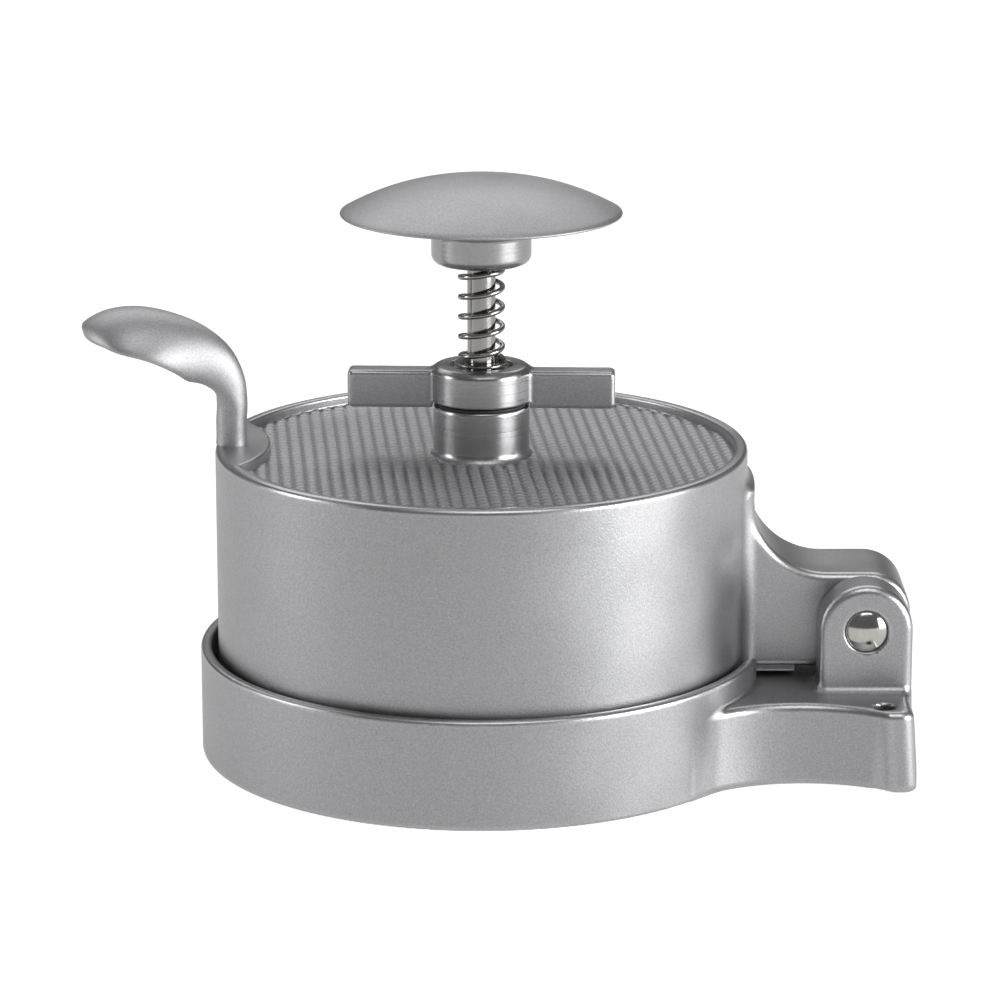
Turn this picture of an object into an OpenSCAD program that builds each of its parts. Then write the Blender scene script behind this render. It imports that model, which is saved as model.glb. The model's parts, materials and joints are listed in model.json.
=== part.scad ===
// Adjustable patty press with a hinged housing, a screw adjuster and a sprung ejector plate.
// Millimetres, +Z up. The origin is on the press axis, level with the underside of the base.
// +X points from the press axis to the lid hinge.

/* [Patty] */
// Diameter of the patty, which is the bore of the housing ring
patty_d = 114.3; // [110:0.1:120]
// Thickness of the patty at the lowest setting
patty_min = 12.7; // [12:0.1:14]
// How far the adjuster can raise the press plate
adjust_travel = 20; // [10:1:20]
// How far the knob can be pushed down against its spring
eject_stroke = 11.9; // [8:0.1:11.9]

/* [Base] */
// Thickness of the dish rim
dish_wall = 2.5; // [2:0.1:4]
// Radial gap between the dish rim and the housing ring
rim_gap = 1.5; // [1.3:0.1:2]
// Height of the dish rim
base_h = 25; // [24:0.5:30]
// Height of the pressing floor of the dish
floor_z = 14; // [12:0.5:15]
// Thickness of the pressing floor
floor_t = 4; // [3:0.5:6]
// Height of the hinge tongue
tongue_h = 19; // [17:0.5:19]
// Width of the hinge tongue at its end
tongue_w = 79; // [76:1:84]
// Width of the hinge tongue at its waist
waist_w = 66; // [62:1:68]

/* [Hinge] */
// Height of the hinge pin above the ground
pin_z = 33; // [32.6:0.1:34]
// Radius of the hinge pin
pin_r = 4.75; // [3.5:0.05:5]
// Radius of the rounded top of the near ear
ear_r = 10.5; // [9:0.5:11]
// Thickness of the near ear
ear_t = 11; // [8:0.5:12]
// Radius of the rounded top of the far ear, which is the lower one
far_ear_r = 8.2; // [7.5:0.1:8.5]
// Thickness of the far ear
far_ear_t = 5; // [4:0.5:8]
// Gap between the two ears
clevis_gap = 25; // [25:0.5:27]
// Radius of the bench screw holes
bench_hole_r = 2.5; // [2:0.1:2.6]
// Distance between the two bench screw holes
bench_spacing = 68.8; // [68:0.1:69.2]

/* [Housing] */
// Thickness of the housing ring
ring_wall = 3.35; // [3:0.05:4]
// Height of the rim round the top of the housing
housing_top = 71.2; // [70:0.1:74]
// Depth of the recess in the top of the housing
top_recess = 2.7; // [2:0.1:3]
// Thickness of the top of the housing
top_wall = 4; // [3:0.5:5]
// Radius of the neck that carries the adjuster
neck_r = 10.9; // [10.5:0.1:11.2]
// Height of the top of the neck
neck_top = 80.5; // [80:0.1:83]

/* [Adjuster] */
// Radius of the winged collar
collar_r = 11.35; // [11:0.05:12]
// Height of the winged collar
collar_h = 8.3; // [8:0.1:10]
// Distance across the tips of the wings
wing_span = 60.6; // [50:0.2:70]
// Thickness of a wing
wing_t = 6.2; // [4:0.2:8]
// Height of a wing
wing_h = 8.6; // [7:0.1:10]
// Angle of the wings about the press axis
wing_turn = -2.5; // [-20:0.5:20]
// Outer radius of the threaded sleeve
sleeve_r = 7; // [6.5:0.1:7.5]

/* [Plunger] */
// Radius of the plunger rod
rod_r = 3.2; // [3:0.1:3.5]
// Radius of the knob
knob_r = 32; // [28:0.5:36]
// Height of the crown of the knob
knob_top = 132.4; // [131.4:0.5:136.4]
// Thickness of the press plate
plate_t = 5; // [4:0.5:6]
// Outer diameter of the spring
spring_d = 10.8; // [10:0.1:12]
// Diameter of the spring wire
wire_d = 1.25; // [1:0.05:1.3]

/* [Lever] */
// Radius of the lever's stem
stem_r = 3.5; // [3.4:0.1:4.5]
// Half the width of the lever's thumb pad
pad_half_w = 11.5; // [9:0.5:14]

/* [Hidden] */

$fn = 96;
// Overlap that joins shapes, and overshoot that makes a cut run right through
lap = 1;
// Gap between parts that move past each other
clear = 0.3;
// Gap round a pin, rod or screw that turns in its bore
fit = 0.05;

// Plan of the base
ring_in = patty_d / 2;
ring_out = ring_in + ring_wall;
dish_in = ring_out + rim_gap;
base_r = dish_in + dish_wall;
pin_x = base_r + 22;
tongue_end = pin_x + ear_r;
tongue_corner = 3;
waist_x = base_r + 7;
// The waist arcs run out on a circle just inside the dish, so that they cross it cleanly
runout_r = base_r - 0.3;
waist_r = (waist_x * waist_x + waist_w * waist_w / 4 - runout_r * runout_r) / (2 * runout_r - waist_w);
root_half_w = 0.69 * base_r;
rim_cut_w = 32;

// Hollows under the base
pocket_r = dish_in - 2;
tongue_pocket_x = base_r + 1.5;
tongue_pocket_l = 27;
tongue_pocket_w = 56;
tongue_skin = 6;

// Hinge arm
arm_w = 23.4;
arm_root_x = ring_out - 2.2;
arm_top = pin_z + 10.3;
arm_low = tongue_h + 1.3;
arm_step_x = base_r + 7.3;
pin_boss_r = 9.6;
knuckle_r = 9.4;
knuckle_x = pin_x + 1.6;
knuckle_z = pin_z + 0.9;
sweep_r = 17.3;
sweep_x = ring_out + 0.8 + sweep_r;
sweep_z = arm_top + sweep_r;
washer_t = 0.6;
pin_head_y = clevis_gap / 2 + ear_t + 0.6;
pin_tail_y = clevis_gap / 2 + far_ear_t + 2.6;
clip_r = 7.5;
clip_t = 0.9;

// Housing
housing_low = floor_z + clear;
top_z = housing_top - top_recess;
rim_land = 2.9;
boss_r = 10.5;
boss_drop = 2;
stem_x = ring_out - 3.7;
seat_r = 40;
seat_x = 88;
stud_r = 2;
stud_low = 57.2;
stud_high = 80;
stud_boss_r = 6.5;
stud_boss_x = 54.5;
stud_boss_low = 56;

// Adjuster stack
friction_t = 0.5;
collar_z = neck_top + friction_t + clear;
collar_top = collar_z + collar_h;
wing_z = collar_top - wing_h - 1.1;
plate_z = floor_z + patty_min;
hub_top = plate_z + 11.3;
sleeve_low = hub_top + clear;
stop_h = 3.4;
stop_r = 9;
grub_z = collar_z + 5.2;
seat_washer_t = 0.6;
spring_z = collar_top + seat_washer_t;
spring_h = 22.1;
spring_turns = 5.3;
closed_turns = 0.5;
spring_seat_z = spring_z + spring_h;
knob_z = spring_seat_z + seat_washer_t;

// Plunger
plate_r = ring_in - 0.65;
hub_r = 12;
rod_low = plate_z + 4.2;
rod_top = knob_z + 13;
screw_r = 2.5;
head_r = 5;
head_h = 2.6;
knob_hub_r = 11.3;
knob_hub_h = 7.8;
knob_rim_z = knob_z + 11.1;
knob_rise = knob_top - knob_rim_z - 0.8;

// Colours
cast = [0.66, 0.66, 0.67];
turned = [0.74, 0.74, 0.75];
steel = [0.8, 0.8, 0.82];
zinc = [0.7, 0.71, 0.74];
nylon = [0.12, 0.12, 0.13];

// A washer with its underside at z = 0
module washer(outer, inner, thick) {
    difference() {
        cylinder(h = thick, r = outer);
        translate([0, 0, -lap]) cylinder(h = thick + 2 * lap, r = inner);
    }
}

// An upright plate from a profile drawn in X and Z, centred on y
module upright(y, thick) {
    translate([0, y + thick / 2, 0]) rotate([90, 0, 0]) linear_extrude(thick) children();
}

// A cylinder along Y from y1 to y2 through the hinge axis
module along_pin(y1, y2, r) {
    translate([pin_x, y1, pin_z]) rotate([-90, 0, 0]) cylinder(h = y2 - y1, r = r);
}

// ---- Base ----

// Plan of the tongue: two concave waist arcs that run out on the dish, and a square end
module tongue_plan() {
    difference() {
        union() {
            translate([base_r / 2, -root_half_w]) square([waist_x - base_r / 2, 2 * root_half_w]);
            translate([waist_x - lap, -tongue_w / 2])
                square([tongue_end - tongue_corner - waist_x + lap, tongue_w]);
            translate([waist_x, tongue_corner - tongue_w / 2])
                square([tongue_end - waist_x, tongue_w - 2 * tongue_corner]);
            for (side = [-1, 1])
                translate([tongue_end - tongue_corner, side * (tongue_w / 2 - tongue_corner)])
                    circle(r = tongue_corner);
        }
        for (side = [-1, 1])
            translate([waist_x, side * (waist_w / 2 + waist_r)]) circle(r = waist_r);
    }
}

module ear_profile(r) {
    translate([pin_x, pin_z]) circle(r = r);
    translate([pin_x - r, tongue_h - lap]) square([2 * r, pin_z - tongue_h + lap]);
}

module base() {
    color(cast) difference() {
        union() {
            cylinder(h = base_h, r = base_r);
            linear_extrude(tongue_h) tongue_plan();
            upright(-(clevis_gap + ear_t) / 2, ear_t) ear_profile(ear_r);
            upright((clevis_gap + far_ear_t) / 2, far_ear_t) ear_profile(far_ear_r);
        }
        // Dish
        translate([0, 0, floor_z]) cylinder(h = base_h, r = dish_in);
        // Cut in the rim for the hinge arm
        translate([base_r / 2, -rim_cut_w / 2, tongue_h]) cube([base_r / 2 + lap, rim_cut_w, base_h]);
        // Hollow underside
        translate([0, 0, -lap]) cylinder(h = floor_z - floor_t + lap, r = pocket_r);
        translate([tongue_pocket_x, -tongue_pocket_w / 2, -lap])
            cube([tongue_pocket_l, tongue_pocket_w, tongue_h - tongue_skin + lap]);
        // Pin bore through both ears
        along_pin(-pin_head_y - lap, pin_tail_y, pin_r + fit / 2);
        // Bench screw holes
        for (side = [-1, 1])
            translate([pin_x + 3.3, side * bench_spacing / 2, -lap])
                cylinder(h = tongue_h + 2 * lap, r = bench_hole_r);
    }
}

module hinge_pin() {
    color(steel) difference() {
        union() {
            along_pin(-pin_head_y, pin_tail_y, pin_r);
            translate([pin_x, -pin_head_y, pin_z]) rotate([90, 0, 0]) cylinder(h = 0.5, r1 = pin_r, r2 = 3.4);
        }
        // Groove for the clip
        translate([pin_x, clevis_gap / 2 + far_ear_t + 0.4, pin_z])
            rotate([-90, 0, 0]) washer(pin_r + lap, pin_r - 0.8, clip_t + 0.1);
    }
}

module hinge_pin_clip() {
    color(steel) translate([pin_x, clevis_gap / 2 + far_ear_t + 0.45, pin_z]) rotate([-90, 0, 0])
        difference() {
            washer(clip_r, pin_r - 0.75, clip_t);
            translate([-2.2, 0, -lap]) cube([4.4, clip_r + lap, clip_t + 2 * lap]);
        }
}

module hinge_washers() {
    color(nylon) for (side = [-1, 1])
        translate([pin_x, side * (clevis_gap - washer_t) / 2 - washer_t / 2, pin_z])
            rotate([-90, 0, 0]) washer(8, pin_r + fit, washer_t);
}

// ---- Housing ----

// Half section of the ring, the recessed top and the neck
module housing_section() {
    polygon([
        [ring_in, housing_low], [ring_out, housing_low], [ring_out, housing_top],
        [ring_out - rim_land, housing_top], [ring_out - rim_land, top_z], [neck_r, top_z],
        [neck_r, neck_top], [sleeve_r + fit, neck_top], [sleeve_r + fit, top_z - top_wall - boss_drop],
        [boss_r, top_z - top_wall - boss_drop], [boss_r, top_z - top_wall], [ring_in, top_z - top_wall]
    ]);
}

// Side view of the hinge arm: a swept web from the ring down to a round knuckle
module arm_profile() {
    difference() {
        union() {
            translate([arm_root_x, arm_low]) square([arm_step_x - arm_root_x, sweep_z - arm_low]);
            translate([arm_root_x, arm_low + 1.7]) square([pin_x - arm_root_x, sweep_z - arm_low - 1.7]);
        }
        translate([sweep_x, sweep_z]) circle(r = sweep_r);
        translate([sweep_x, arm_top]) square([pin_x, sweep_r + lap]);
    }
    translate([pin_x, pin_z]) circle(r = pin_boss_r);
    translate([knuckle_x, knuckle_z]) circle(r = knuckle_r);
    translate([pin_x - lap, pin_z]) square([knuckle_x - pin_x + lap, arm_top - pin_z]);
}

module housing() {
    color(cast) difference() {
        union() {
            rotate_extrude() housing_section();
            upright(0, arm_w) arm_profile();
            // Seat of the lever, level with the rim
            translate([0, 0, top_z - lap]) intersection() {
                cylinder(h = top_recess + lap, r = ring_out - 1.5);
                translate([-seat_x, 0, 0]) cylinder(h = top_recess + lap, r = seat_r);
            }
            // Boss inside the housing that holds the lever's stud
            intersection() {
                translate([0, 0, stud_boss_low])
                    cylinder(h = top_z - top_wall + lap - stud_boss_low, r = ring_out - 1.5);
                translate([-stud_boss_x, 0, stud_boss_low])
                    cylinder(h = top_z - top_wall + lap - stud_boss_low, r = stud_boss_r);
            }
        }
        along_pin(-arm_w, arm_w, pin_r + fit);
        translate([-stem_x, 0, stud_low]) cylinder(h = housing_top, r = stud_r);
    }
}

// The lever is a round stem that sweeps over into a domed thumb pad
module lever() {
    foot_z = housing_top;
    color(cast) difference() {
        union() {
            translate([-stem_x, 0, foot_z]) cylinder(h = 10.5, r = stem_r);
            hull() {
                translate([-stem_x, 0, foot_z + 10.5]) sphere(r = stem_r, $fn = 32);
                translate([-stem_x - 1, 0, foot_z + 16]) sphere(r = stem_r, $fn = 32);
            }
            hull() {
                translate([-stem_x - 1, 0, foot_z + 16]) sphere(r = stem_r, $fn = 32);
                translate([-stem_x - 4.8, 0, foot_z + 21.5]) sphere(r = 4, $fn = 32);
            }
            hull() {
                translate([-stem_x - 4.8, 0, foot_z + 21.5]) sphere(r = 4, $fn = 32);
                translate([-stem_x - 10, 0, foot_z + 25.7]) sphere(r = 3.6, $fn = 32);
            }
            hull() {
                translate([-stem_x - 9, 0, foot_z + 25]) sphere(r = 3.6, $fn = 32);
                translate([-stem_x - 31.6, 0, foot_z + 25.4]) sphere(r = 1.8, $fn = 32);
                translate([-stem_x - 16, 0, foot_z + 28.2]) sphere(r = 2.8, $fn = 32);
                translate([-stem_x - 24, 0, foot_z + 29]) sphere(r = 2.4, $fn = 32);
                for (side = [-1, 1]) {
                    translate([-stem_x - 20, side * (pad_half_w - 1.5), foot_z + 23.6]) sphere(r = 1.5, $fn = 32);
                    translate([-stem_x - 26, side * (pad_half_w - 3.5), foot_z + 24]) sphere(r = 1.5, $fn = 32);
                }
            }
        }
        // Tapped hole for the stud
        translate([-stem_x, 0, foot_z - lap]) cylinder(h = stud_high - foot_z + 1.5, r = stud_r);
    }
}

module lever_stud() {
    color(zinc) translate([-stem_x, 0, stud_low + 0.2]) cylinder(h = stud_high - stud_low, r = stud_r);
}

module friction_washer() {
    color(nylon) translate([0, 0, neck_top]) washer(neck_r - 0.4, sleeve_r + clear, friction_t);
}

// ---- Adjuster ----

module adjuster_nut() {
    color(turned) rotate([0, 0, wing_turn]) difference() {
        union() {
            translate([0, 0, collar_z]) cylinder(h = collar_h - 1, r = collar_r);
            translate([0, 0, collar_top - 1]) cylinder(h = 1, r1 = collar_r, r2 = collar_r - 1);
            for (side = [0, 180]) rotate([0, 0, side])
                translate([sleeve_r + 1.5, -wing_t / 2, wing_z])
                    cube([wing_span / 2 - sleeve_r - 1.5, wing_t, wing_h]);
        }
        // Bore that is pressed on the sleeve
        translate([0, 0, collar_z - lap]) cylinder(h = collar_h + 2 * lap, r = sleeve_r);
        // The wings hang past the neck with a running gap
        translate([0, 0, wing_z - lap]) cylinder(h = collar_z - wing_z + lap, r = neck_r + 0.4);
        // Grub screw hole at the back
        translate([0, 0, grub_z]) rotate([-90, 0, 0]) cylinder(h = collar_r + lap, r = 2);
    }
}

module adjuster_sleeve() {
    color(steel) translate([0, 0, sleeve_low]) difference() {
        cylinder(h = collar_top - 1 - sleeve_low, r = sleeve_r);
        translate([0, 0, -lap]) cylinder(h = collar_top - sleeve_low + 2 * lap, r = rod_r + fit);
    }
}

module adjuster_grub_screw() {
    color(zinc) rotate([0, 0, wing_turn]) translate([0, sleeve_r, grub_z]) rotate([-90, 0, 0])
        difference() {
            cylinder(h = collar_r - sleeve_r - 0.4, r = 2);
            // Hex socket
            translate([0, 0, 2]) cylinder(h = collar_r, r = 1.15, $fn = 6);
        }
}

module stop_collar() {
    color(zinc) translate([0, 0, sleeve_low]) washer(stop_r, sleeve_r, stop_h);
}

// ---- Spring ----

module lower_spring_washer() {
    color(steel) translate([0, 0, collar_top]) washer(spring_d / 2 + 0.6, rod_r + clear, seat_washer_t);
}

// Height of the wire's centre after a number of turns; the spring lies closed at both ends
function coil_z(turn) =
    let (free = spring_h - (1 + 2 * closed_turns) * wire_d, t1 = min(turn, closed_turns),
         t3 = max(turn - spring_turns + closed_turns, 0), t2 = turn - t1 - t3)
    wire_d / 2 + (t1 + t3) * wire_d + t2 * free / (spring_turns - 2 * closed_turns);

function coil_point(turn) =
    let (r = (spring_d - wire_d) / 2) [r * cos(360 * turn), r * sin(360 * turn), coil_z(turn)];

module spring() {
    steps = 20;
    sides = 8;
    rings = spring_turns * steps;
    points = [
        for (i = [0 : rings]) let (turn = i / steps, p = coil_point(turn))
            for (k = [0 : sides - 1]) let (a = 360 * k / sides, out = wire_d / 2 * cos(a))
                [p[0] + out * cos(360 * turn), p[1] + out * sin(360 * turn), p[2] + wire_d / 2 * sin(a)]
    ];
    faces = concat(
        [[for (k = [0 : sides - 1]) k]],
        [for (i = [0 : rings - 1]) for (k = [0 : sides - 1]) let (n = (k + 1) % sides)
            [i * sides + n, i * sides + k, (i + 1) * sides + k, (i + 1) * sides + n]],
        [[for (k = [0 : sides - 1]) rings * sides + sides - 1 - k]]
    );
    color(steel) translate([0, 0, spring_z]) polyhedron(points = points, faces = faces);
}

module upper_spring_washer() {
    color(steel) translate([0, 0, spring_seat_z]) washer(spring_d / 2 + 0.4, rod_r + fit, seat_washer_t);
}

// ---- Plunger ----

module plunger_rod() {
    color(steel) difference() {
        translate([0, 0, rod_low]) cylinder(h = rod_top - rod_low, r = rod_r);
        // Tapped hole for the plate screw
        translate([0, 0, rod_low - lap]) cylinder(h = 12 + lap, r = screw_r);
    }
}

// Half section of the knob: a hub under a shallow dome with a rounded lip
module knob_section() {
    sphere_r = (knob_r * knob_r + knob_rise * knob_rise) / (2 * knob_rise);
    half_angle = asin(knob_r / sphere_r);
    arc_steps = 16;
    polygon(concat(
        [[0, knob_z], [knob_hub_r - 2, knob_z], [knob_hub_r, knob_z + 2.2],
         [knob_hub_r, knob_z + knob_hub_h], [knob_hub_r + 2.2, knob_z + knob_hub_h + 1.2],
         [knob_r - 1, knob_rim_z - 0.4], [knob_r, knob_rim_z + 0.2]],
        [for (i = [0 : arc_steps]) let (a = half_angle * (1 - i / arc_steps))
            [sphere_r * sin(a), knob_top - sphere_r + sphere_r * cos(a)]]
    ));
}

module knob() {
    color(cast) difference() {
        rotate_extrude() knob_section();
        translate([0, 0, knob_z - lap]) cylinder(h = rod_top - knob_z + lap, r = rod_r);
        translate([0, 0, knob_z + 3.4]) rotate([-90, 0, 0]) cylinder(h = knob_hub_r + lap, r = 2);
    }
}

module knob_grub_screw() {
    color(zinc) translate([0, rod_r, knob_z + 3.4]) rotate([-90, 0, 0]) difference() {
        cylinder(h = knob_hub_r - rod_r - 0.8, r = 2);
        // Hex socket
        translate([0, 0, knob_hub_r - rod_r - 3]) cylinder(h = knob_hub_r, r = 1.15, $fn = 6);
    }
}

module press_plate() {
    color(cast) difference() {
        union() {
            translate([0, 0, plate_z]) cylinder(h = plate_t, r = plate_r);
            translate([0, 0, plate_z + plate_t - lap]) cylinder(h = hub_top - plate_z - plate_t + lap, r = hub_r);
            // Stiffening ribs
            for (turn = [45 : 90 : 315]) rotate([0, 0, turn])
                translate([hub_r - lap, -1.5, plate_z + plate_t - lap]) cube([plate_r - hub_r - 4, 3, 3.5 + lap]);
        }
        translate([0, 0, rod_low]) cylinder(h = hub_top, r = rod_r);
        translate([0, 0, plate_z - lap]) cylinder(h = hub_top, r = screw_r);
        translate([0, 0, plate_z - lap]) cylinder(h = lap, r = head_r);
        translate([0, 0, plate_z]) cylinder(h = head_h, r1 = head_r, r2 = screw_r);
    }
}

module plate_screw() {
    color(zinc) difference() {
        union() {
            translate([0, 0, plate_z]) cylinder(h = head_h, r1 = head_r, r2 = screw_r);
            translate([0, 0, plate_z + head_h - 0.2]) cylinder(h = 12, r = screw_r);
        }
        // Hex socket
        translate([0, 0, plate_z - lap]) cylinder(h = 2.2 + lap, r = 1.7, $fn = 6);
    }
}

base();
hinge_pin();
hinge_pin_clip();
hinge_washers();
housing();
lever();
lever_stud();
friction_washer();
adjuster_nut();
adjuster_sleeve();
adjuster_grub_screw();
stop_collar();
lower_spring_washer();
spring();
upper_spring_washer();
plunger_rod();
knob();
knob_grub_screw();
press_plate();
plate_screw();
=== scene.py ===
import json
import math

import bmesh
import bpy
import numpy as np
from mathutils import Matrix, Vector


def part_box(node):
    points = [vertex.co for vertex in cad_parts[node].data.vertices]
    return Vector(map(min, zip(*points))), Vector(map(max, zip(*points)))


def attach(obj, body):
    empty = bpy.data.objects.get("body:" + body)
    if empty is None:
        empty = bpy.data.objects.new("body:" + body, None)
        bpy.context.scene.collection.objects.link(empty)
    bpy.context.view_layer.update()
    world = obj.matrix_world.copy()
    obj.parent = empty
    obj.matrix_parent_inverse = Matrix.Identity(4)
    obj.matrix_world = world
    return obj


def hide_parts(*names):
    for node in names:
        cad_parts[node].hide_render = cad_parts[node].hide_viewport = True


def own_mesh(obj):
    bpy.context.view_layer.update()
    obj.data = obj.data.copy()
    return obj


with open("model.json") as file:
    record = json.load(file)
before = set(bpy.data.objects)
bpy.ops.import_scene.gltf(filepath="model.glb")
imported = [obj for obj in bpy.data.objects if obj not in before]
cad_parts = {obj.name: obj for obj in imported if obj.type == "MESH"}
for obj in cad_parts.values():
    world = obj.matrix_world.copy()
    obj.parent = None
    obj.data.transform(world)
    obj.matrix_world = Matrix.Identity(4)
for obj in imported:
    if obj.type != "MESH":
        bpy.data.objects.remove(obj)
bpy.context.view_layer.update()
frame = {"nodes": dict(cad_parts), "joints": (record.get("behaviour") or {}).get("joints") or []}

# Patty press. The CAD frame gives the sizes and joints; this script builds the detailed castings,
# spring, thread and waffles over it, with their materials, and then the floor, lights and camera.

import openvdb
from mathutils import Vector

MM = 0.001


# ---------------------------------------------------------------- places and sizes, in millimetres

def node_box(name):
    """Lowest and highest corner of a CAD node, in millimetres."""
    low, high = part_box(name)
    return np.array(low) / MM, np.array(high) / MM


def joint(name):
    return next(j for j in frame["joints"] if j["name"] == name)


base_low, base_high = node_box("base")
ring_low, ring_high = node_box("housing")
knob_low, knob_high = node_box("knob")
nut_low, nut_high = node_box("adjuster_nut")
plate_low, plate_high = node_box("press_plate")
spring_low, spring_high = node_box("spring")
sleeve_low, sleeve_high = node_box("adjuster_sleeve")

PIN_X = joint("lid_hinge")["pos_m"][0] / MM
PIN_Z = joint("lid_hinge")["pos_m"][2] / MM

BASE_R = -base_low[0]
TONGUE_END = base_high[0]
RIM_TOP = 25.0
FLOOR_Z = 14.0
FLOOR_T = 4.0
TONGUE_H = 19.0
DISH_IN = BASE_R - 2.5
EAR_R = TONGUE_END - PIN_X
FAR_EAR_R = 8.2
CLEVIS_GAP = 25.0
EAR_T = 11.0
FAR_EAR_T = 5.0

RING_OUT = ring_high[1]
RING_WALL = 3.35
RING_IN = RING_OUT - RING_WALL
RING_LOW = ring_low[2]
NECK_TOP = ring_high[2]
NECK_R = 10.9
HOUSING_TOP = 71.2
TOP_Z = HOUSING_TOP - 2.7
TOP_T = 4.0
RIM_LAND = 2.9
ARM_W = 23.4
PIN_BOSS_R = 9.6
KNUCKLE_R = 9.4
KNUCKLE_X = PIN_X + 1.6
KNUCKLE_Z = PIN_Z + 0.9

COLLAR_R = 11.35
COLLAR_Z = 81.3
COLLAR_TOP = nut_high[2]
WING_TURN = math.radians(-2.5)

PIN_R = 4.7
ROD_R = 3.2
SLEEVE_R = 7.0
SLEEVE_BORE_R = 3.25

WAFFLE_PITCH = 2.8
WAFFLE_TURN = math.radians(4)
PATTY_WAFFLE_R = 55.5
PATTY_WAFFLE_PEAK = 0.55
TOP_WAFFLE_R = 58.6
TOP_WAFFLE_PEAK = 0.65


# ---------------------------------------------------------------- distance fields

def round_join(a, b, radius):
    """Union of two shapes with a cast fillet of that radius between them."""
    u = np.maximum(radius - a, 0)
    v = np.maximum(radius - b, 0)
    return np.maximum(radius, np.minimum(a, b)) - np.hypot(u, v)


def round_keep(a, b, radius):
    """What two shapes share, with the edge between them rounded to that radius."""
    u = np.maximum(radius + a, 0)
    v = np.maximum(radius + b, 0)
    return np.minimum(-radius, np.maximum(a, b)) + np.hypot(u, v)


def round_cut(a, b, radius):
    """The first shape less the second, with the rim of the cut rounded to that radius."""
    return round_keep(a, -b, radius)


def between(value, low, high):
    """Distance outside the range from low to high."""
    return np.abs(value - (low + high) / 2) - (high - low) / 2


def rectangle(u, v, u_range, v_range, corner):
    """Rectangle with rounded corners, in the plane of u and v."""
    du = between(u, *u_range) + corner
    dv = between(v, *v_range) + corner
    outside = np.hypot(np.maximum(du, 0), np.maximum(dv, 0))
    return outside + np.minimum(np.maximum(du, dv), 0) - corner


def circle(u, v, centre_u, centre_v, radius):
    return np.hypot(u - centre_u, v - centre_v) - radius


# ---------------------------------------------------------------- meshes

def to_object(name, points, faces):
    """A smooth-shaded mesh object from points in millimetres."""
    mesh = bpy.data.meshes.new(name)
    mesh.from_pydata((np.asarray(points) * MM).tolist(), [], [list(map(int, f)) for f in faces])
    mesh.validate()
    for polygon in mesh.polygons:
        polygon.use_smooth = True
    obj = bpy.data.objects.new(name, mesh)
    bpy.context.scene.collection.objects.link(obj)
    return obj


def gradient(field, points):
    """Slope of a field at points, by central differences."""
    eps = 0.02
    columns = []
    for axis in range(3):
        step = np.zeros(3)
        step[axis] = eps
        ahead = field(*(points + step).T)
        behind = field(*(points - step).T)
        columns.append((ahead - behind) / (2 * eps))
    return np.stack(columns, axis=1)


def bending(field, points):
    """How sharply the surface bends at each point: above 0 along edges, below 0 in hollows."""
    eps = 0.9
    total = -6 * field(*points.T)
    for axis in range(3):
        step = np.zeros(3)
        step[axis] = eps
        total = total + field(*(points + step).T) + field(*(points - step).T)
    return np.clip(total / eps, -1, 1)


def cast(name, field, low, high, step):
    """Meshes the zero surface of a field, then draws each vertex exactly onto it."""
    margin = 3 * step
    x = np.arange(low[0] - margin, high[0] + margin, step)
    z = np.arange(low[2] - margin, high[2] + margin, step)
    y = np.arange(low[1] - margin, high[1] + margin, step)
    values = field(x[:, None, None], y[None, :, None], z[None, None, :])
    values = np.broadcast_to(values, (len(x), len(y), len(z)))
    values = np.clip(values, -margin, margin).astype(np.float32)
    grid = openvdb.FloatGrid(margin)
    grid.copyFromArray(values)
    points, triangles, quads = grid.convertToPolygons()
    origin = np.array([x[0], y[0], z[0]])
    points = points.astype(float) * step + origin
    for _ in range(4):
        slope = gradient(field, points)
        distance = field(*points.T)
        size = np.maximum((slope ** 2).sum(axis=1), 0.05)
        move = slope * (distance / size)[:, None]
        points -= np.clip(move, -step, step)
    points = np.clip(points, low, high)
    faces = [tuple(f) for f in triangles] + [tuple(f) for f in quads]
    obj = to_object(name, points, faces)
    slope = gradient(field, points)
    slope /= np.maximum(np.linalg.norm(slope, axis=1), 1e-9)[:, None]
    obj.data.normals_split_custom_set_from_vertices(slope.tolist())
    bend = obj.data.attributes.new("edge", "FLOAT", "POINT")
    bend.data.foreach_set("value", bending(field, points).astype(np.float32))
    return obj


def outline(corners, steps=5):
    """Points along a closed path of corners (u, v, radius), with each corner rounded to its radius."""
    points = []
    for i, (u, v, radius) in enumerate(corners):
        here = np.array([u, v], float)
        if radius == 0:
            points.append(here)
            continue
        back = np.array(corners[i - 1][:2]) - here
        on = np.array(corners[(i + 1) % len(corners)][:2]) - here
        back /= np.linalg.norm(back)
        on /= np.linalg.norm(on)
        half = math.acos(np.clip(back @ on, -1, 1)) / 2
        middle = (back + on) / np.linalg.norm(back + on)
        centre = here + middle * radius / math.sin(half)
        start = here + back * radius / math.tan(half) - centre
        end = here + on * radius / math.tan(half) - centre
        for k in range(steps + 1):
            way = start * (1 - k / steps) + end * (k / steps)
            points.append(centre + way / np.linalg.norm(way) * radius)
    return points


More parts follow.
